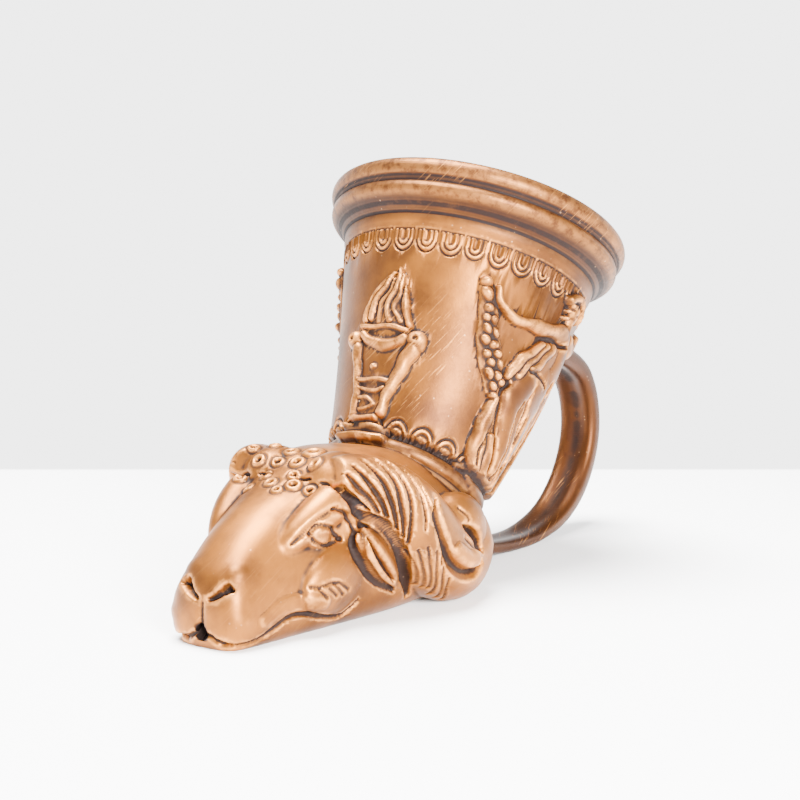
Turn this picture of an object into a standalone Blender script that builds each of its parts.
"""Ram-headed rhyton: a drinking horn cast in clay as one piece.

The cup leans back from a ram's head that lies on its jaw. A strap handle loops from the back of
the cup down to the ground and forward to the head. The cup is open at the lip and runs down
through the head to a small spout in the ram's lips. The relief on the cup has a burning altar at
the front and a dancer with a bunch of grapes at each side.
"""
import math

import bmesh
import bpy
import numpy as np
from mathutils import Vector
from mathutils.bvhtree import BVHTree

MM = 0.001

# Cup, in millimetres, measured along its bent axis from the neck ring to the lip
CUP_LENGTH = 94.3
RIM_RADIUS = 50.0
WALL_TOP_RADIUS = 41.3
NECK_RADIUS = 25.4
MOULDING_DEPTH = 20.0
EGG_DEPTH = 7.4
EGG_COUNT = 32
EGG_TURN = 1.7
EGG_DROP = 1.8
ARCH_COUNT = 20
ARCH_HEIGHT = 6.2
ARCH_TURN = 20.8
RING_HALF_WIDTH = 2.6

# Walls and bores
CUP_WALL = 4.6
LIP_WALL = 7.0
HEAD_WALL = 5.0
SPOUT_RADIUS = 2.1
SPOUT_LENGTH = 12.0

# Lean of the axis from the vertical, in degrees, and the neck's place
NECK_X = -12.5
NECK_Z = 32.1
NECK_LEAN = 38.4
RIM_LEAN = 24.7
THROAT_LEAN = 84.0
SPOUT_LEAN = 54.0
THROAT_TURN = 26.0
SPOUT_TURN = 30.0
THROAT_SLACK = 1.075
MUZZLE_DRIFT = 1.7

# Head
HEAD_FRONT = -108.8
HEAD_BACK = 12.0
HEAD_HALF_WIDTH = 28.5
HEAD_HEIGHT = 48.5

# Handle
HANDLE_WIDTH = 15.0
HANDLE_THICKNESS = 8.2
HANDLE_FOOT_THICKNESS = 5.0
HANDLE_REACH = 111.6
HANDLE_TOP_DEPTH = 27.0
CHANNEL_SHARE = 0.4

# Relief: how it was drawn, and where the second dancer stands beside the first one mirrored
DRAWN_CUP_LENGTH = 94.3
DRAWN_MOULDING = 20.0
SECOND_DANCER_TURN = 17.0
SECOND_DANCER_DROP = 6.0
HAND = 0.35
RIDGE_BLUNTNESS = 0.6
PANEL_BLUNTNESS = 0.3

# Fineness of the meshes
CUP_STEPS = 200
WALL_STEP = 1.2
VOXEL = 1.0
CUP_TRIANGLES = 4450
HEAD_TRIANGLES = 3100
BORE_STEPS = 24
HANDLE_STEP = 8.0
HANDLE_SIDES = 20

CARVING_CARE = 0.0001

# Depths of the carving, in millimetres, and how little a line minds steps across its view
HORN_GROOVE_DEPTH = 1.7
HORN_STROKE_DEPTH = 0.5
SIDE_FLATNESS = 0.25
CURL_RISE = 0.55
CURL_PIT = 1.7
CURL_EDGE = 0.3

CLAY = (0.52, 0.27, 0.13, 1.0)


def smoothstep(value):
    value = np.clip(value, 0.0, 1.0)
    return value * value * (3.0 - 2.0 * value)


# The bent axis: station s is 0 at the neck ring, CUP_LENGTH at the lip and negative in the head
def lean_at(s):
    s = np.asarray(s, float)
    bottom = bore_bottom()
    up = RIM_LEAN + (NECK_LEAN - RIM_LEAN) * (1.0 - np.clip(s / CUP_LENGTH, 0.0, 1.0)) ** 2
    turn = smoothstep(-s / THROAT_TURN)
    down = NECK_LEAN + (THROAT_LEAN - NECK_LEAN) * turn
    end = smoothstep((bottom + SPOUT_TURN - s) / SPOUT_TURN)
    down = down + (SPOUT_LEAN - THROAT_LEAN) * end
    return np.radians(np.where(s >= 0.0, up, down))


def bore_bottom():
    return (HEAD_FRONT - NECK_X) * THROAT_SLACK


def axis_table():
    s = np.arange(-160.0, CUP_LENGTH + 40.0, 0.25)
    lean = lean_at(s)
    step = 0.25 * 0.5
    x = np.concatenate([[0.0], np.cumsum((np.sin(lean[1:]) + np.sin(lean[:-1])) * step)])
    z = np.concatenate([[0.0], np.cumsum((np.cos(lean[1:]) + np.cos(lean[:-1])) * step)])
    x += NECK_X - np.interp(0.0, s, x)
    z += NECK_Z - np.interp(0.0, s, z)
    return s, x, z, lean


TABLE = axis_table()


def bend(places):
    """Turns places round a straight axis into places round the cup's bent one."""
    s, x, z, lean = TABLE
    lean = np.interp(places[:, 2], s, lean)
    forward = places[:, 0]
    out = np.empty_like(places)
    out[:, 0] = np.interp(places[:, 2], s, x) - forward * np.cos(lean)
    out[:, 1] = -places[:, 1]
    out[:, 2] = np.interp(places[:, 2], s, z) + forward * np.sin(lean)
    return out


# Mesh helpers
def turned(name, profile, steps):
    """Spins a profile of (radius, height) pairs, bottom to top, round the Z axis."""
    bm = bmesh.new()
    verts = [bm.verts.new((r * MM, 0.0, h * MM)) for r, h in profile]
    edges = [bm.edges.new(pair) for pair in zip(verts, verts[1:])]
    bmesh.ops.spin(bm, geom=verts + edges, axis=(0, 0, 1), cent=(0, 0, 0), dvec=(0, 0, 0),
                   angle=2.0 * math.pi, steps=steps, use_merge=True)
    bmesh.ops.remove_doubles(bm, verts=bm.verts, dist=0.00001)
    bmesh.ops.recalc_face_normals(bm, faces=bm.faces)
    mesh = bpy.data.meshes.new(name)
    bm.to_mesh(mesh)
    bm.free()
    piece = bpy.data.objects.new(name, mesh)
    bpy.context.collection.objects.link(piece)
    return piece


def places_of(piece):
    flat = np.empty(len(piece.data.vertices) * 3)
    piece.data.vertices.foreach_get("co", flat)
    return flat.reshape(-1, 3) / MM


def put(piece, places):
    piece.data.vertices.foreach_set("co", (places * MM).ravel())
    piece.data.update()


def outward(piece):
    """Turns all faces out after a reshaping."""
    bm = bmesh.new()
    bm.from_mesh(piece.data)
    bmesh.ops.recalc_face_normals(bm, faces=bm.faces)
    bm.to_mesh(piece.data)
    bm.free()


def settle(piece):
    """Makes the modifiers of a piece part of its mesh."""
    bpy.context.view_layer.update()
    graph = bpy.context.evaluated_depsgraph_get()
    mesh = bpy.data.meshes.new_from_object(piece.evaluated_get(graph))
    piece.modifiers.clear()
    piece.data = mesh


def thin_out(piece, triangles, plainness=None):
    """Keeps the shape with fewer faces, most of them where it bends or where it is carved."""
    count = sum(len(face.vertices) - 2 for face in piece.data.polygons)
    modifier = piece.modifiers.new("Thin out", "DECIMATE")
    modifier.ratio = min(1.0, triangles / count)
    if plainness is not None:
        group = piece.vertex_groups.new(name="plain")
        for index, weight in enumerate(plainness):
            group.add([index], float(weight), "REPLACE")
        modifier.vertex_group = group.name
        modifier.vertex_group_factor = CARVING_CARE
    settle(piece)
    piece.vertex_groups.clear()


def combine(piece, other, operation):
    modifier = piece.modifiers.new("Combine", "BOOLEAN")
    modifier.operation = operation
    modifier.solver = "EXACT"
    modifier.object = other
    settle(piece)
    bpy.data.objects.remove(other)


def smooth_line(points, step=0.6):
    """A smooth curve through the points; any further columns are carried along."""
    points = np.asarray(points, float)
    if len(points) == 1:
        return points
    ends = np.vstack([2 * points[0] - points[1], points, 2 * points[-1] - points[-2]])
    out = []
    for a, b, c, d in zip(ends, ends[1:], ends[2:], ends[3:]):
        count = max(2, int(np.linalg.norm((c - b)[:2]) / step))
        t = np.linspace(0.0, 1.0, count, endpoint=False)[:, None]
        out.append(0.5 * (2 * b + (c - a) * t + (2 * a - 5 * b + 4 * c - d) * t ** 2
                          + (3 * b - a - 3 * c + d) * t ** 3))
    out.append(points[-1:])
    return np.vstack(out)


def nearness(places, line, widths):
    """1 on the line, falling to 0 at the line's half-width beside it."""
    out = np.zeros(len(places))
    reach = widths.max()
    inside = np.all((places > line.min(0) - reach) & (places < line.max(0) + reach), axis=1)
    chosen = np.flatnonzero(inside)
    for start in range(0, len(chosen), 4000):
        part = chosen[start:start + 4000]
        gap = np.linalg.norm(places[part][:, None, :] - line[None, :, :], axis=2) / widths
        out[part] = np.clip(1.0 - gap.min(axis=1) ** 2, 0.0, 1.0)
    return out


# The cup's outer profile
def radius_at(s):
    """Radius of the plain wall between the neck ring and the mouldings."""
    top = CUP_LENGTH - MOULDING_DEPTH
    share = np.clip(s / top, -0.5, 1.0)
    return NECK_RADIUS + (WALL_TOP_RADIUS - NECK_RADIUS) * (1.06 * share - 0.06 * share ** 2)


def arc(radius, height, across, up, start, end, steps):
    """Part of an oval round (radius, height), with angles in degrees from straight out."""
    turns = [math.radians(start + (end - start) * i / steps) for i in range(steps + 1)]
    return [(radius + across * math.cos(t), height + up * math.sin(t)) for t in turns]


def cup_profile():
    lip = CUP_LENGTH
    ring = RING_HALF_WIDTH
    unit = MOULDING_DEPTH / DRAWN_MOULDING
    crown = radius_at(0.0)
    profile = [(0.0, -15.0), (crown - 5.0, -15.0), (crown - 3.2, -ring - 2.2)]
    profile += [(crown - 1.3, -ring - 1.4), (crown - 1.3, -ring - 0.6)]
    profile += arc(crown - 1.6, 0.0, 2.1, ring, -80, 80, 6)
    profile += [(crown - 1.0, ring + 0.6), (crown - 0.8, ring + 1.3)]
    start = ring + 2.4
    count = int((lip - MOULDING_DEPTH - start) / WALL_STEP)
    for i in range(count + 1):
        s = start + (lip - MOULDING_DEPTH - start) * i / count
        profile.append((float(radius_at(s)), s))
    band = WALL_TOP_RADIUS + 0.5
    cove = RIM_RADIUS - 1.6
    drawn = [(band, 19.5), (band + 0.3, 17.0), (band + 0.2, 16.6), (band + 1.2, 16.0)]
    drawn += [(band + 1.9, 15.2), (band + 2.6, 14.4), (band + 3.9, 13.4)]
    drawn += arc(cove - 1.9, 9.9, 1.9, -2.4, -60, 62, 6)
    drawn += [(RIM_RADIUS - 2.1, 7.4)]
    drawn += arc(RIM_RADIUS - 2.6, 3.5, 2.6, -3.1, -66, 60, 7)
    drawn += [(RIM_RADIUS - 3.0, 0.1), (RIM_RADIUS - 4.0, 0.0), (0.0, 0.0)]
    profile += [(radius, lip - unit * below) for radius, below in drawn]
    return profile


def bore_profile():
    """Inside of the cup, throat and spout, bottom to top."""
    bottom = bore_bottom()
    lip = CUP_LENGTH
    inner = RIM_RADIUS - LIP_WALL
    neck = NECK_RADIUS - HEAD_WALL
    spout = bottom + SPOUT_LENGTH
    profile = [(0.0, bottom - 8.0), (SPOUT_RADIUS, bottom - 8.0), (SPOUT_RADIUS, spout)]
    profile += [(0.27 * neck, spout + 6.0), (0.42 * neck, spout + 15.0)]
    profile += [(0.56 * neck, spout + 33.0), (0.7 * neck, spout + 52.0), (0.84 * neck, -14.0)]
    wall_top = lip - MOULDING_DEPTH
    for share in (0.0, 0.17, 0.34, 0.52, 0.7, 0.88):
        profile.append((float(radius_at(share * wall_top)) - CUP_WALL, share * wall_top))
    shoulder = WALL_TOP_RADIUS - CUP_WALL
    profile += [(shoulder + 0.2, lip - 0.85 * MOULDING_DEPTH)]
    profile += [(0.45 * shoulder + 0.55 * inner, lip - 0.5 * MOULDING_DEPTH)]
    profile += [(inner, lip - 0.2 * MOULDING_DEPTH)]
    profile += arc(inner + 2.2, lip - 2.4, -2.2, 2.4, 0, 80, 4)
    profile += [(inner + 2.3, lip + 8.0), (0.0, lip + 8.0)]
    return profile


# Relief on the cup: places are (degrees round from the front, height above the ring)
def relief(degrees, s):
    """How far the cup's surface stands out, in millimetres, at each place."""
    bands = eggs(degrees, s) + arches(degrees, s)
    drawn = s * DRAWN_CUP_LENGTH / CUP_LENGTH
    figures = np.maximum(altar(degrees, drawn), dancer(degrees, drawn))
    mirrored = -(degrees + SECOND_DANCER_TURN)
    figures = np.maximum(figures, dancer(mirrored, drawn - SECOND_DANCER_DROP))
    return np.where(figures > 0.0, np.maximum(figures, bands), bands)


def swell(value, centre, width):
    return np.exp(-((value - centre) / width) ** 2)


def eggs(degrees, s):
    """A row of tongues, each a raised U with a hollow middle."""
    pitch = 360.0 / EGG_COUNT
    top = CUP_LENGTH - MOULDING_DEPTH - EGG_DROP
    bend_height = top - 0.4 * EGG_DEPTH
    across = ((degrees - EGG_TURN + 0.5 * pitch) % pitch - 0.5 * pitch) / (0.47 * pitch)
    down = np.clip((bend_height - s) / (0.6 * EGG_DEPTH), 0.0, None)
    reach = np.hypot(across, down)
    out = 0.7 * smoothstep((1.0 - reach) / 0.2) - 0.8 * swell(reach, 0.0, 0.35)
    return out * smoothstep((top - s) / 0.5)


def arches(degrees, s):
    """A row of low arches that stand on the neck ring."""
    pitch = 360.0 / ARCH_COUNT
    across = ((degrees - ARCH_TURN + 0.5 * pitch) % pitch - 0.5 * pitch) / (0.47 * pitch)
    up = np.clip(s - RING_HALF_WIDTH, 0.0, None) / ARCH_HEIGHT
    reach = np.hypot(across, up)
    out = 0.6 * smoothstep((1.0 - reach) / 0.2) - 0.5 * swell(reach, 0.0, 0.4)
    return np.where(s > RING_HALF_WIDTH, out, 0.0)


def drawing(degrees, s):
    """Degrees turned into millimetres round the wall, beside the height."""
    return np.stack([degrees * radius_at(s) * math.pi / 180.0, s], axis=1)


def by_hand(places):
    """A slight unevenness in the lines of a drawing, as of a hand-cut mould."""
    across = places[:, 0]
    up = places[:, 1]
    out = places.copy()
    out[:, 0] += HAND * np.sin(0.62 * up + 0.35 * across) * np.cos(0.21 * up)
    out[:, 1] += HAND * np.sin(0.55 * across - 0.4 * up)
    return out


def raised(out, places, points, rise, bluntness=RIDGE_BLUNTNESS):
    """Raises a rounded ridge along (degrees, height, half-width) points, or a dome on one."""
    points = np.asarray(points, float)
    flat = drawing(points[:, 0], points[:, 1])
    line = smooth_line(np.column_stack([flat, points[:, 2]]))
    near = nearness(places, line[:, :2], line[:, 2])
    return np.maximum(out, rise * near ** bluntness)


def cut_in(out, places, points, width, depth):
    flat = drawing(np.array([p[0] for p in points], float), np.array([p[1] for p in points], float))
    line = smooth_line(flat)
    return out - depth * nearness(places, line, np.full(len(line), width))


ALTAR_PANELS = (
    ([(1.0, 40.8, 6.8), (2.0, 46, 5.4), (3.6, 52, 2.8), (4.5, 57, 1.0)], 2.0),
    ([(-0.5, 35.5, 8.6), (-0.5, 31, 7.6)], 1.7),
    ([(-0.2, 29, 6.6), (-1, 20, 5.6), (-3, 9, 4.4)], 1.5),
    ([(-16, 2.4, 3.0), (-4.4, 2.0, 3.4), (9, 2.4, 3.0)], 2.0),
)
ALTAR_RIDGES = (
    ([(-17.5, 32, 2.2), (-15.2, 24.8, 1.8), (-12.6, 16, 1.6), (-12, 8, 1.7)], 2.6),
    ([(17.5, 32.5, 2.6), (14, 25.4, 2.3), (10.2, 18.4, 1.9), (7.6, 9, 1.8)], 2.8),
    ([(-14, 38.4, 1.1), (-2.6, 38.7, 1.2), (13, 38.4, 1.1)], 3.0),
    ([(-12, 36.0, 1.9), (-6.5, 33.4, 2.5), (1.0, 32.2, 2.7), (8, 33.6, 2.5), (12.6, 35.8, 1.9)], 3.1),
    ([(-12.5, 20.6, 1.1), (-3.7, 20.2, 1.2), (8.1, 20.4, 1.1)], 2.4),
    ([(-10.5, 17.4, 0.9), (-4, 16.2, 1.0), (2.4, 16.5, 1.0), (6.5, 18.0, 0.9)], 2.3),
    ([(-9.5, 13.5, 0.9), (-3, 13.8, 1.0), (1.3, 12.2, 1.0), (-2, 10.6, 1.0), (-7, 9.8, 0.9)], 2.3),
    ([(-12.5, 7.1, 1.3), (-4, 6.8, 1.4), (4.5, 7.0, 1.3)], 2.6),
    ([(-19.5, 3.9, 1.5), (-4.4, 3.4, 1.6), (11.2, 3.8, 1.5)], 2.9),
    ([(-21, 0.9, 1.7), (-4.4, 0.5, 1.8), (13.5, 0.9, 1.7)], 2.9),
    ([(-20.8, 34.6, 3.3)], 3.2),
    ([(18.8, 35.4, 3.6)], 3.4),
    ([(-2.3, 25.1, 1.6)], 2.7),
)
FLAMES = (
    [(-12.8, 40.6, 1.4), (-10.8, 46.5, 1.5), (-5.5, 52.0, 1.3), (1.6, 57, 0.6)],
    [(-8.2, 41.2, 1.3), (-7.8, 46.2, 1.4), (-2.6, 51.2, 1.2), (0.6, 55.5, 0.6)],
    [(-3.0, 40.4, 1.3), (-3.9, 45.5, 1.3), (0.6, 49.6, 1.1), (2.5, 54.5, 0.6)],
    [(2.6, 40.6, 1.3), (0.2, 44.6, 1.3), (2.4, 49.0, 1.2), (4.6, 53.5, 1.1), (4.3, 58.6, 0.5)],
    [(8.2, 40.9, 1.3), (4.2, 45.2, 1.3), (5.8, 49.6, 1.2), (6.4, 56.0, 0.6)],
    [(13.4, 40.5, 1.5), (10.6, 45.0, 1.4), (9.0, 49.2, 1.2), (9.2, 52.6, 0.6)],
)
SCROLL_EYES = ((-20.8, 34.6), (18.8, 35.4))
DANCER_PANELS = (
    ([(103, 52, 6.0), (103, 42, 7.5), (100, 30, 9.0), (99, 17, 9.5), (99, 6, 9.5)], 1.7),
    ([(84, 36, 5.0), (82, 26, 6.0), (82, 15, 6.5), (84, 7, 6.5)], 1.4),
    ([(46, 57, 2.6), (50, 50, 3.4), (54, 43, 4.0), (60, 36, 4.2), (66, 30, 3.4)], 1.3),
)
DANCER_RIDGES = (
    ([(101, 56, 4.2), (106, 50, 5.2), (107, 43, 5.8)], 2.8),
    ([(104, 42, 6.0), (101, 34, 7.0), (99, 26, 7.4), (99, 16, 7.0), (101, 8, 6.5)], 2.3),
    ([(98, 56.8, 3.0), (85, 55.1, 2.3), (73.6, 52.9, 2.1), (62.8, 52.4, 1.9), (55.9, 53.7, 1.7),
      (52, 56.3, 1.3), (49.8, 59.5, 1.0)], 2.8),
    ([(99, 58.5, 2.2), (97.4, 62, 2.0)], 2.4),
    ([(97, 64.2, 3.7)], 3.2),
    ([(90, 67, 1.5), (95, 68.6, 1.9), (101, 68, 2.2), (104.5, 64.5, 2.0)], 3.0),
    ([(108, 57, 3.0), (116, 56, 2.4), (124, 59, 2.0), (127, 63, 1.6)], 2.4),
    ([(88, 37, 4.6), (83, 30, 4.9), (85, 24, 4.6), (91, 17, 4.4), (96, 9, 4.0)], 3.1),
    ([(69.5, 26.5, 1.4), (70.5, 21, 2.2), (71.8, 14.5, 3.0), (75.5, 8.5, 3.5), (79.5, 4.4, 2.8)], 2.9),
    ([(79.5, 16, 1.6), (84, 11, 2.4), (88, 5.5, 2.8)], 2.6),
    ([(84, 49.5, 1.4), (77, 43.5, 1.9), (73, 38, 2.0), (71, 35.3, 1.4)], 2.6),
    ([(88, 49.6, 1.6), (81.5, 43, 1.9), (78, 36.5, 1.6)], 2.5),
    ([(93, 50.5, 1.8), (88.5, 44.5, 2.0), (85, 40.5, 1.8)], 2.7),
    ([(110, 48, 4.0), (116, 41, 4.5), (120, 32, 4.5), (121, 20, 4.5), (119, 7, 4.5)], 2.0),
    ([(68, 3.0, 1.2), (76, 3.4, 1.6), (92, 4.0, 1.8), (108, 4.5, 1.8)], 2.3),
)
DANCER_FOLDS = (
    ([(73.8, 33.4), (72.6, 28.8), (75.3, 24.2), (79.5, 18.5), (86, 13.5), (91, 7)], 0.9, 1.9),
    ([(92, 39), (93.6, 31.9), (96.5, 24.5), (102, 16), (104, 5)], 1.0, 1.6),
    ([(107.7, 42), (108.2, 35.7), (110.9, 29.2), (113, 20), (113, 6)], 1.0, 1.5),
    ([(99, 28), (101.5, 20), (104, 12)], 0.8, 1.0),
    ([(88, 31), (89.5, 23), (95, 14.5), (98, 6)], 0.8, 0.9),
    ([(74.9, 15.9), (74.3, 10.3), (78, 5.6)], 0.7, 1.1),
    ([(83.7, 39.8), (92, 41.5), (101, 39.6)], 0.8, 1.0),
    ([(115.5, 46), (118.5, 35), (117.5, 22), (115, 7)], 0.9, 1.2),
    ([(90.5, 52.3), (97, 53.2), (103.5, 54.6)], 0.8, 1.7),
)
GRAPES = (
    (44.1, 59.7, 2.0), (46.4, 56.4, 2.3), (48.8, 52.4, 2.0), (49.4, 48.9, 1.8), (53.2, 48.8, 1.6),
    (50.8, 45.7, 1.9), (55.5, 45.8, 1.7), (52.3, 42.4, 1.8), (57.0, 42.0, 2.0), (55.7, 38.5, 2.0),
    (60.8, 39.3, 1.8), (59.2, 36.0, 1.8), (64.2, 37.0, 1.7), (60.8, 32.8, 1.9), (65.7, 33.6, 1.8),
    (69.4, 32.4, 1.7), (65.2, 30.0, 1.9), (67.5, 27.2, 1.7),
)


def altar(degrees, s):
    """Burning altar on a tapered stand, with a scroll at each end of its bowl."""
    places = by_hand(drawing(degrees, s))
    out = np.zeros_like(s)
    for points, rise in ALTAR_PANELS:
        out = raised(out, places, points, rise, PANEL_BLUNTNESS)
    for points, rise in ALTAR_RIDGES:
        out = raised(out, places, points, rise)
    for centre in SCROLL_EYES:
        out = cut_in(out, places, [centre], 1.1, 1.6)
    for i, points in enumerate(FLAMES):
        out = raised(out, places, points, 2.6 + 0.4 * (i % 2))
    return np.clip(out, 0.0, None)


def dancer(degrees, s):
    """Dancer who holds up a bunch of grapes, in a dress with blown folds."""
    places = by_hand(drawing(degrees, s))
    out = np.zeros_like(s)
    for points, rise in DANCER_PANELS:
        out = raised(out, places, points, rise, PANEL_BLUNTNESS)
    for points, rise in DANCER_RIDGES:
        out = raised(out, places, points, rise)
    for points, width, depth in DANCER_FOLDS:
        out = cut_in(out, places, points, width, depth)
    for i, grape in enumerate(GRAPES):
        out = raised(out, places, [grape], 2.7 + 0.4 * math.sin(2.0 * i))
    return np.clip(out, 0.0, None)


def make_cup():
    cup = turned("cup", cup_profile(), CUP_STEPS)
    places = places_of(cup)
    reach = np.hypot(places[:, 0], places[:, 1])
    wall = (reach > 5.0) & (places[:, 2] > -0.6 * RING_HALF_WIDTH)
    wall &= places[:, 2] < CUP_LENGTH - MOULDING_DEPTH + 0.2
    degrees = np.degrees(np.arctan2(places[:, 1], places[:, 0]))
    height = relief(degrees[wall], places[wall, 2])
    places[wall, :2] *= (1.0 + height / reach[wall])[:, None]
    put(cup, bend(places))
    plainness = np.ones(len(places))
    plainness[wall] = 1.0 - 0.5 * smoothstep(np.abs(height) / 0.3)
    thin_out(cup, CUP_TRIANGLES, plainness)
    return cup


def make_bore():
    bore = turned("bore", bore_profile(), BORE_STEPS)
    put(bore, drift(bend(places_of(bore))))
    return bore


# Head: sections (place along, half-width, underside, top, height of the widest line) as drawn
DRAWN_SECTIONS = (
    (-108.8, 4.0, 5.0, 11.5, 8.0),
    (-108.2, 8.5, 1.5, 15.0, 8.0),
    (-106.5, 11.5, -0.5, 18.8, 8.0),
    (-103.5, 13.4, -1.2, 22.3, 8.0),
    (-95.0, 15.3, -1.8, 29.5, 9.0),
    (-84.0, 17.6, -1.8, 36.3, 11.0),
    (-72.0, 20.5, -1.8, 42.3, 13.0),
    (-64.0, 22.4, -1.8, 47.0, 14.5),
    (-56.0, 24.2, -1.8, 48.2, 15.5),
    (-45.0, 26.0, -1.8, 47.8, 17.0),
    (-30.0, 27.0, -1.5, 45.5, 19.0),
    (-15.0, 26.0, 0.0, 38.0, 20.0),
    (0.0, 21.0, 3.0, 28.0, 18.0),
    (9.0, 13.0, 7.0, 22.0, 15.0),
    (12.0, 5.0, 12.0, 18.0, 15.0),
)


def head_scale():
    """Along, across and up factors from the drawn head to the named sizes."""
    drawn = np.array(DRAWN_SECTIONS)
    along = (HEAD_BACK - HEAD_FRONT) / (drawn[-1, 0] - drawn[0, 0])
    return np.array([along, HEAD_HALF_WIDTH / 29.0, HEAD_HEIGHT / 48.5])


def to_size(points):
    points = np.asarray(points, float) * head_scale()
    points[:, 0] += HEAD_BACK - DRAWN_SECTIONS[-1][0] * head_scale()[0]
    return points


def from_size(places):
    """The head as drawn, from places on the head at its named sizes."""
    out = places.copy()
    out[:, 0] -= HEAD_BACK - DRAWN_SECTIONS[-1][0] * head_scale()[0]
    return out / head_scale()


def signed_power(value, power):
    return np.sign(value) * np.abs(value) ** power


def make_skull():
    rows = 60
    share = 0.5 - 0.5 * np.cos(np.linspace(0.0, math.pi, rows))
    profile = [(0.0, 0.0)] + [(1.0, 100.0 * float(t)) for t in share] + [(0.0, 100.0)]
    skull = turned("skull", profile, 64)
    places = places_of(skull)
    drawn = np.array(DRAWN_SECTIONS)
    t = places[:, 2] / 100.0
    fine = smooth_line(drawn, 0.5)
    place = fine[0, 0] + t * (fine[-1, 0] - fine[0, 0])
    section = [np.interp(place, fine[:, 0], fine[:, column]) for column in range(1, 5)]
    half_width, under, top, widest = section
    angle = np.arctan2(places[:, 1], places[:, 0])
    reach = np.hypot(places[:, 0], places[:, 1])
    across = np.cos(angle)
    up = np.sin(angle)
    upper = up > 0.0
    squareness = 0.8 - 0.15 * smoothstep((place + 85.0) / 30.0)
    y = half_width * np.where(upper, signed_power(across, squareness), signed_power(across, 0.6))
    z = widest + np.where(upper, (top - widest) * signed_power(up, 0.95),
                          (widest - under) * signed_power(up, 0.6))
    out = np.column_stack([place, y * reach, widest + (z - widest) * reach])
    put(skull, to_size(out))
    outward(skull)
    return skull


def blob(centre, radii, turn=0.0):
    """An egg-shaped lump on the near side, turned about the Y axis, with its mirror twin."""
    lumps = []
    for side in (-1.0, 1.0):
        bm = bmesh.new()
        bmesh.ops.create_icosphere(bm, subdivisions=3, radius=1.0)
        mesh = bpy.data.meshes.new("lump")
        bm.to_mesh(mesh)
        bm.free()
        lump = bpy.data.objects.new("lump", mesh)
        bpy.context.collection.objects.link(lump)
        shape = places_of(lump) * MM * np.array(radii)
        angle = math.radians(turn)
        x = shape[:, 0] * math.cos(angle) - shape[:, 2] * math.sin(angle)
        z = shape[:, 0] * math.sin(angle) + shape[:, 2] * math.cos(angle)
        shape = np.column_stack([x, shape[:, 1], z]) + np.array(centre)
        shape[:, 1] *= -side
        put(lump, to_size(shape))
        outward(lump)
        lumps.append(lump)
    return lumps


def swept(points):
    """A round tube through (x, y, z, radius) points on the near side, with its mirror twin."""
    tubes = []
    line = smooth_line(points, 2.0)
    ahead = np.gradient(line[:, :3], axis=0)
    ahead /= np.linalg.norm(ahead, axis=1)[:, None]
    side_way = np.cross(ahead, np.array([0.0, 1.0, 0.0]))
    side_way /= np.linalg.norm(side_way, axis=1)[:, None]
    other_way = np.cross(side_way, ahead)
    count = len(line)
    for side in (-1.0, 1.0):
        profile = [(0.0, 0.0)] + [(1.0, float(i)) for i in range(count)] + [(0.0, count - 1.0)]
        tube = turned("tube", profile, 20)
        places = places_of(tube)
        row = np.clip(np.round(places[:, 2]).astype(int), 0, count - 1)
        size = line[row, 3][:, None]
        shape = line[row, :3] + size * places[:, :1] * side_way[row]
        shape += size * places[:, 1:2] * other_way[row]
        shape[:, 1] *= -side
        put(tube, to_size(shape))
        outward(tube)
        tubes.append(tube)
    return tubes


def fused(pieces, name):
    """One closed skin round overlapping lumps."""
    bm = bmesh.new()
    for piece in pieces:
        bm.from_mesh(piece.data)
        bpy.data.objects.remove(piece)
    mesh = bpy.data.meshes.new(name)
    bm.to_mesh(mesh)
    bm.free()
    whole = bpy.data.objects.new(name, mesh)
    bpy.context.collection.objects.link(whole)
    skin = whole.modifiers.new("Skin", "REMESH")
    skin.mode = "VOXEL"
    skin.voxel_size = VOXEL * MM
    soften = whole.modifiers.new("Soften", "SMOOTH")
    soften.factor = 0.5
    soften.iterations = max(1, round(4 / VOXEL ** 2))
    settle(whole)
    return whole


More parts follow.
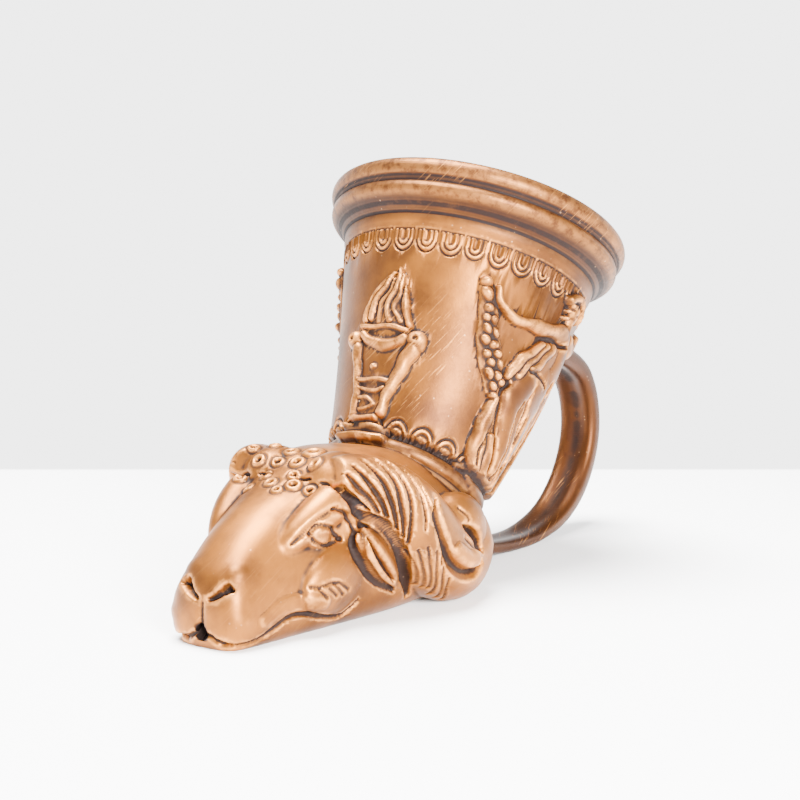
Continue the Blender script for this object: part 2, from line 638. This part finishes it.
# Carving of the head: lines as drawn from its side (along, up), its top (along, across) or its
# front (across, up), near side only; each point may carry its own half-width as a third number
SIDE_CUTS = (
    ([(-82.5, 28.7), (-81.4, 30.2), (-80.1, 30.8), (-78.3, 30.6), (-74.0, 28.9), (-70.7, 25.7)],
     1.0, 1.0),
    ([(-70.7, 25.7), (-73.8, 24.9), (-76.4, 24.7), (-80.4, 26.2), (-82.5, 28.7)], 0.8, 0.6),
    ([(-73.8, 35.4, 0.8), (-76.6, 34.2, 1.2), (-80.4, 32.3, 1.2), (-84.0, 29.4, 1.3),
      (-87.1, 26.4, 0.6)], 1.2, 0.8),
    ([(-75.2, 35.0, 0.8), (-70.7, 33.1, 1.0), (-67.6, 30.2, 1.2), (-67.2, 28.1, 1.3),
      (-68.0, 25.0, 1.4), (-68.0, 22.0, 1.4), (-66.5, 18.8, 1.4), (-61.5, 13.3, 1.3),
      (-57.4, 10.4, 1.2), (-51.7, 8.0, 1.0)], 1.3, 1.3),
    ([(-71.6, 40.7, 0.8), (-71.0, 38.3, 1.1), (-67.3, 34.3, 1.3), (-64.3, 31.4, 1.4),
      (-61.4, 29.6, 1.5), (-58.6, 26.7, 1.5), (-54.9, 21.8, 1.4), (-51.5, 15.8, 1.4),
      (-48.3, 10.9, 1.4), (-44.1, 5.1, 1.3)], 1.4, 1.7),
    ([(-66.1, 25.8, 0.6), (-63.7, 21.3, 1.1), (-59.5, 16.2, 1.2), (-54.1, 11.4, 0.8)], 1.2, 2.6),
    ([(-42.6, 34.5, 1.2), (-44.8, 31.5, 1.6), (-44.8, 28.2, 1.8), (-43.6, 23.4, 1.9),
      (-41.5, 18.6, 2.0), (-38.1, 14.2, 2.2), (-32.5, 10.7, 2.3), (-26.5, 10.0, 2.0),
      (-23.1, 12.2, 1.4)], 1.9, 2.8),
    ([(-29.5, 24.0, 1.0), (-26.4, 22.4, 1.8), (-23.4, 19.8, 2.4), (-20.6, 16.4, 1.8)], 1.8, 3.4),
    ([(-31.6, 21.2, 0.8), (-27.6, 18.6, 1.0), (-23.4, 16.6, 1.2)], 1.0, 0.9),
    ([(-29.1, 29.4), (-26.6, 25.9), (-29.6, 23.4)], 0.7, 0.5),
    ([(-84.1, 14.5), (-81.5, 14.3), (-78.1, 14.8), (-75.2, 14.5)], 0.8, 0.6),
    ([(-81.9, 13.5), (-79.7, 11.0)], 0.8, 0.5),
    ([(-78.6, 13.4), (-76.0, 11.1)], 0.8, 0.5),
    ([(-76.7, 14.3), (-73.3, 10.9)], 0.8, 0.5),
    ([(-74.2, 14.0), (-71.2, 12.0)], 0.8, 0.5),
    ([(-107.4, 1.6), (-104.5, 1.6), (-99.5, 2.3), (-94.4, 4.8), (-89.4, 6.9), (-84.2, 6.7),
      (-78.1, 4.8), (-71.3, 3.6), (-67.7, 5.5, 0.8), (-65.3, 7.5, 0.5)], 1.0, 1.1),
)
FRONT_CUTS = (
    ([(0, 4.2, 0.6), (-2.8, 4.0, 0.8), (-4.6, 2.9, 1.0), (-7.0, 2.1, 1.3), (-9.0, 1.7, 1.1)],
     1.0, 1.2),
    ([(-2.2, 13.8, 0.8), (-4.2, 14.8, 1.2), (-6.1, 16.3, 1.7), (-7.5, 17.2, 1.7),
      (-9.2, 16.7, 0.9)], 1.2, 2.2),
    ([(0, 12.6), (0, 7.0)], 0.7, 0.6),
    ([(-7.2, 17.0)], 2.0, 1.6),
)
# Wide soft strokes: (points, half-width, rise)
SIDE_SWELLS = (
    ([(-77.4, 27.9)], 4.4, 0.6),
    ([(-36.5, 18.2), (-31.0, 15.0), (-26.5, 14.6)], 3.2, 1.0),
    ([(-98, 7.2, 2.5), (-90, 10.5, 3.0), (-80, 9.5, 2.5)], 3.0, 0.5),
)
HORN_GROOVES = (
    [(-71.6, 42.6, 0.7), (-71.2, 39.4, 1.3), (-67.5, 35.4, 1.5), (-65.0, 33.0, 0.8)],
    [(-70.4, 44.6, 0.6), (-68.1, 39.9, 1.1), (-65.4, 36, 1.2), (-63.1, 32.6, 0.7)],
    [(-67.6, 46.0, 0.6), (-65.4, 41.1, 1.0), (-63.4, 36.6, 1.1), (-60.9, 31.2, 0.7)],
    [(-63.8, 47.0, 0.6), (-62, 42.1, 1.0), (-60.8, 37.1, 1.1), (-59.1, 31.8, 1.0), (-57.4, 27.0, 0.6)],
    [(-59.6, 47.0, 0.6), (-58.2, 41.1, 1.0), (-57.9, 35.4, 1.1), (-56.7, 30.1, 1.0), (-55.3, 24.6, 0.6)],
    [(-55.8, 46.0, 0.6), (-54.7, 39.6, 1.0), (-54.4, 33.8, 1.0), (-54.3, 27.6, 0.9), (-53.7, 22.6, 0.6)],
    [(-51.6, 43.5, 0.5), (-49.8, 36.8, 0.8), (-49.6, 31.5, 0.8), (-49.9, 26.6, 0.5)],
    [(-48.2, 41.0, 0.5), (-47.2, 34, 0.7), (-46.6, 28.2, 0.7), (-44.2, 21.8, 0.6), (-42.6, 15.5, 0.5)],
)
HORN_STROKES = (
    [(-52.9, 19.7), (-49.6, 15.5), (-45, 8.9)],
    [(-50.8, 20.4), (-47.5, 14.6), (-43.0, 8.0)],
    [(-48.4, 21.0), (-46.0, 15.1), (-41.6, 7.6)],
    [(-45.4, 19.4), (-43.4, 13.0), (-38.8, 5.0)],
    [(-42.1, 15.6), (-40.2, 10.2), (-35.5, 3.3)],
    [(-38.2, 10.2), (-36.6, 6.4), (-32.4, 1.9)],
)
# Locks of hair on the brow: (along, across, radius)
CURLS = (
    (-61.8, 11.2, 2.3), (-67.6, 5.4, 2.3), (-67.0, -1.2, 2.7), (-69.6, 11.3, 2.5),
    (-75.7, 1.6, 2.4), (-74.8, -6.0, 2.7), (-61.0, -2.6, 3.6), (-68.3, -8.6, 2.8),
    (-72.4, 6.2, 2.2), (-71.6, -3.6, 2.2), (-62.2, 4.8, 2.6), (-73.2, 15.2, 2.4),
    (-78.3, -2.8, 2.0), (-76.3, 9.4, 2.2), (-66.4, 15.6, 2.2), (-73.4, -11.0, 2.2),
)


def cast(tree, view, points):
    """Sets points of a drawing on the head's near side; each keeps its half-width."""
    out = []
    for first, second, width in points:
        if view == "side":
            start, way = (first, -200.0, second), (0.0, 1.0, 0.0)
        elif view == "top":
            start, way = (first, second, 200.0), (0.0, 0.0, -1.0)
        else:
            start, way = (-300.0, first, second), (1.0, 0.0, 0.0)
        spot = tree.ray_cast(Vector(start), Vector(way))[0]
        if spot is not None:
            out.append((spot.x, spot.y, spot.z, width))
    return np.array(out).reshape(-1, 4)


def carve(head):
    """Cuts the features of the face, ear, horn and curls into both sides of the head."""
    places = places_of(head)
    flat = np.empty(len(places) * 3)
    head.data.vertices.foreach_get("normal", flat)
    normals = flat.reshape(-1, 3)
    faces = [tuple(face.vertices) for face in head.data.polygons]
    drawn = from_size(places)
    tree = BVHTree.FromPolygons([Vector(place) for place in drawn], faces)
    near_side = drawn.copy()
    near_side[:, 1] = -np.abs(near_side[:, 1])
    rise = np.zeros(len(places))

    def strength(view, points, width):
        points = [tuple(point) + (width,) * (3 - len(point)) for point in points]
        spots = cast(tree, view, smooth_line(points, 0.7))
        if len(spots) == 0:
            return np.zeros(len(places))
        flatter = np.array([1.0, SIDE_FLATNESS if view == "side" else 1.0, 1.0])
        return nearness(near_side * flatter, spots[:, :3] * flatter, spots[:, 3])

    def curl(along, across, radius):
        """A round lock of hair with a ring-shaped crown and a drilled middle."""
        spots = cast(tree, "top", [(along, across, radius)])
        if len(spots):
            gap = np.linalg.norm(drawn - spots[0, :3], axis=1) / radius
            rise[:] += CURL_RISE * swell(gap, 0.62, 0.26) - CURL_PIT * swell(gap, 0.0, 0.30)
            rise[:] -= CURL_EDGE * swell(gap, 1.05, 0.18)

    for points, width, height in SIDE_SWELLS:
        rise += height * smoothstep(strength("side", points, width))
    for points, width, depth in SIDE_CUTS:
        rise -= depth * strength("side", points, width)
    for points, width, depth in FRONT_CUTS:
        rise -= depth * strength("front", points, width)
    for points in HORN_GROOVES:
        rise -= HORN_GROOVE_DEPTH * strength("side", points, 1.0)
    for points in HORN_STROKES:
        rise -= HORN_STROKE_DEPTH * strength("side", points, 0.6)
    for along, across, radius in CURLS:
        curl(along, across, radius)
    put(head, drift(places + normals * rise[:, None]))


def drift(places):
    """Sets the middle of the lips and the spout a little to the near side."""
    along = smoothstep((0.85 * HEAD_FRONT - places[:, 0]) / 12.0)
    middle = np.clip(1.0 - (places[:, 1] / 13.0) ** 2, 0.0, 1.0)
    out = places.copy()
    out[:, 1] -= MUZZLE_DRIFT * along * middle
    return out


def make_head():
    lumps = [make_skull()]
    lumps += swept([(-92, -7.4, 18.0, 1.6), (-85, -12.2, 26.0, 4.0), (-78, -14.8, 31.2, 5.2),
                    (-70, -16.2, 35.5, 5.8), (-63, -16, 38, 5.6)])
    lumps += blob((-77.2, -16.2, 27.6), (5.4, 3.0, 3.8), 12)
    lumps += blob((-66.5, -16.6, 28.5), (4.5, 5.0, 6.0))
    lumps += blob((-99.5, -5.2, 18.5), (6.2, 6.2, 5.2), 20)
    lumps += blob((-102.6, -6.0, 8.0), (6.0, 8.0, 6.5))
    lumps += blob((-70, -18.0, 15), (16, 5.0, 10), 15)
    lumps += blob((-62, -11.5, 40.5), (10.0, 9.0, 8.2), 8)
    lumps += swept([(-69.0, -15.5, 42.2, 6.2), (-63, -18, 40.5, 8.4), (-55, -21, 36, 11.0),
                    (-46, -22.5, 28.5, 13.0), (-38, -24, 20, 13.4), (-29, -25, 13.5, 12.6),
                    (-20, -24.5, 11.5, 11.5), (-14, -24, 16, 10.0), (-14, -23, 23, 8.0)])
    lumps += blob((-23, -27.5, 22.5), (12.5, 8.0, 10.5), -20)
    lumps += blob((-59.5, -23.8, 18.5), (5.5, 4.2, 13.0), 43)
    head = fused(lumps, "head")
    carve(head)
    return head


def handle_line():
    """Middle line of the strap and its thickness, as (x, z, thickness), cup to head."""
    s, x, z, lean = TABLE
    top = CUP_LENGTH - HANDLE_TOP_DEPTH
    root = radius_at(top) - CUP_WALL
    back_x = np.interp(top, s, x) + root * math.cos(np.interp(top, s, lean))
    back_z = np.interp(top, s, z) - root * math.sin(np.interp(top, s, lean))
    thick = HANDLE_THICKNESS
    foot = HANDLE_FOOT_THICKNESS
    out = HANDLE_REACH - thick / 2.0
    gap = out - back_x
    length = out - HEAD_BACK
    return np.array([
        (back_x - 0.13 * gap, 1.013 * back_z, thick + 1.5),
        (back_x + 0.125 * gap, 0.993 * back_z, thick + 1.0),
        (out - 0.28 * gap, 0.845 * back_z, thick),
        (out - 0.078 * gap, 0.72 * back_z, thick),
        (out, 0.538 * back_z, thick),
        (out - 0.048 * gap, 0.363 * back_z, thick),
        (out - 0.115 * length, 0.202 * back_z, thick),
        (out - 0.25 * length, 0.089 * back_z, 0.5 * (thick + foot)),
        (out - 0.44 * length, 0.5 * foot - 0.2, foot),
        (out - 0.63 * length, 0.5 * foot - 0.4, foot),
        (out - 0.82 * length, 0.5 * foot + 1.6, foot + 0.5),
        (out - 0.984 * length, 0.5 * foot + 6.0, foot + 2.5),
        (out - 1.13 * length, 0.5 * foot + 11.0, foot + 4.0),
    ])


def make_handle():
    """A strap with a rounded back and a channel along its inner face."""
    line = smooth_line(handle_line(), HANDLE_STEP)
    count = len(line)
    profile = [(0.0, 0.0)] + [(1.0, float(i)) for i in range(count)] + [(0.0, count - 1.0)]
    strap = turned("strap", profile, HANDLE_SIDES)
    places = places_of(strap)
    row = np.clip(np.round(places[:, 2]).astype(int), 0, count - 1)
    ahead = np.gradient(line[:, :2], axis=0)
    ahead /= np.linalg.norm(ahead, axis=1)[:, None]
    angle = np.arctan2(places[:, 1], places[:, 0])
    reach = np.hypot(places[:, 0], places[:, 1])
    sideways = signed_power(np.cos(angle), 0.55)
    proud = 0.5 * line[row, 2] * signed_power(np.sin(angle), 0.7) * reach
    inner = np.sin(angle) < 0.0
    channel = 1.0 - CHANNEL_SHARE * np.where(inner, swell(sideways, 0.0, 0.42), 0.0)
    proud *= channel
    across = 0.5 * HANDLE_WIDTH * sideways * reach
    out = np.column_stack([line[row, 0] - proud * ahead[row, 1], across,
                           line[row, 1] + proud * ahead[row, 0]])
    put(strap, out)
    outward(strap)
    return strap


def finish(piece):
    """Cuts the foot flat, sets the piece over its own middle and gives it its clay."""
    bm = bmesh.new()
    bm.from_mesh(piece.data)
    cut = bmesh.ops.bisect_plane(bm, geom=bm.verts[:] + bm.edges[:] + bm.faces[:],
                                 plane_co=(0, 0, 0), plane_no=(0, 0, 1), clear_inner=True)
    rim = [item for item in cut["geom_cut"] if isinstance(item, bmesh.types.BMEdge)]
    bmesh.ops.holes_fill(bm, edges=rim, sides=0)
    bmesh.ops.recalc_face_normals(bm, faces=bm.faces)
    bm.to_mesh(piece.data)
    bm.free()
    places = places_of(piece)
    places[:, 0] -= 0.5 * (places[:, 0].min() + places[:, 0].max())
    put(piece, places)
    piece.data.shade_smooth()
    piece.data.set_sharp_from_angle(angle=math.radians(50))
    clay = bpy.data.materials.new("fired clay")
    clay.use_nodes = True
    shader = clay.node_tree.nodes["Principled BSDF"]
    shader.inputs["Base Color"].default_value = CLAY
    shader.inputs["Roughness"].default_value = 0.5
    shader.inputs["Metallic"].default_value = 0.0
    piece.data.materials.clear()
    piece.data.materials.append(clay)


def main():
    for thing in list(bpy.data.objects):
        bpy.data.objects.remove(thing)
    rhyton = make_head()
    thin_out(rhyton, HEAD_TRIANGLES)
    combine(rhyton, make_cup(), "UNION")
    combine(rhyton, make_handle(), "UNION")
    combine(rhyton, make_bore(), "DIFFERENCE")
    rhyton.name = "rhyton"
    finish(rhyton)


main()
